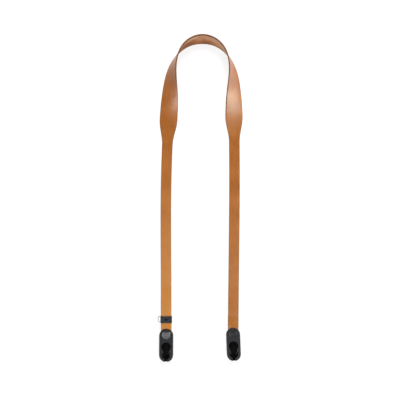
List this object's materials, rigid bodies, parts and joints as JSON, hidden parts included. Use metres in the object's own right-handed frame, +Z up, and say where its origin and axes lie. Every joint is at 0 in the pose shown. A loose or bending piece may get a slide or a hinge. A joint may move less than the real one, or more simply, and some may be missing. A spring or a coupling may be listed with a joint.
{
  "type": "camera neck strap",
  "caption": "Leather neck strap for a camera, with wider shoulder sections, a moulded socket clip at each end and a small adjuster on one leg.",
  "frame": {"origin": "on the table under the middle of the strap's box, as it lies", "axes": "+Z up from the table, +Y along the legs towards the bend that goes round the neck, +X to the right of a viewer who looks down with the bend at the top"},
  "size_m": [0.1558, 0.5968, 0.036],
  "materials": {
    "strap_leather": "smooth tan vegetable-tanned leather, satin, with darker burnished edges",
    "clip_plastic": "black moulded plastic, satin",
    "keeper_plate_metal": "dark coated metal, satin",
    "keeper_wire_steel": "plain bright wire"
  },
  "bodies": {
    "root": {"strap": "strap_leather", "clip_left": "clip_plastic", "clip_right": "clip_plastic", "keeper_plate": "keeper_plate_metal", "keeper_bail": "keeper_wire_steel"}
  },
  "joints": []
}
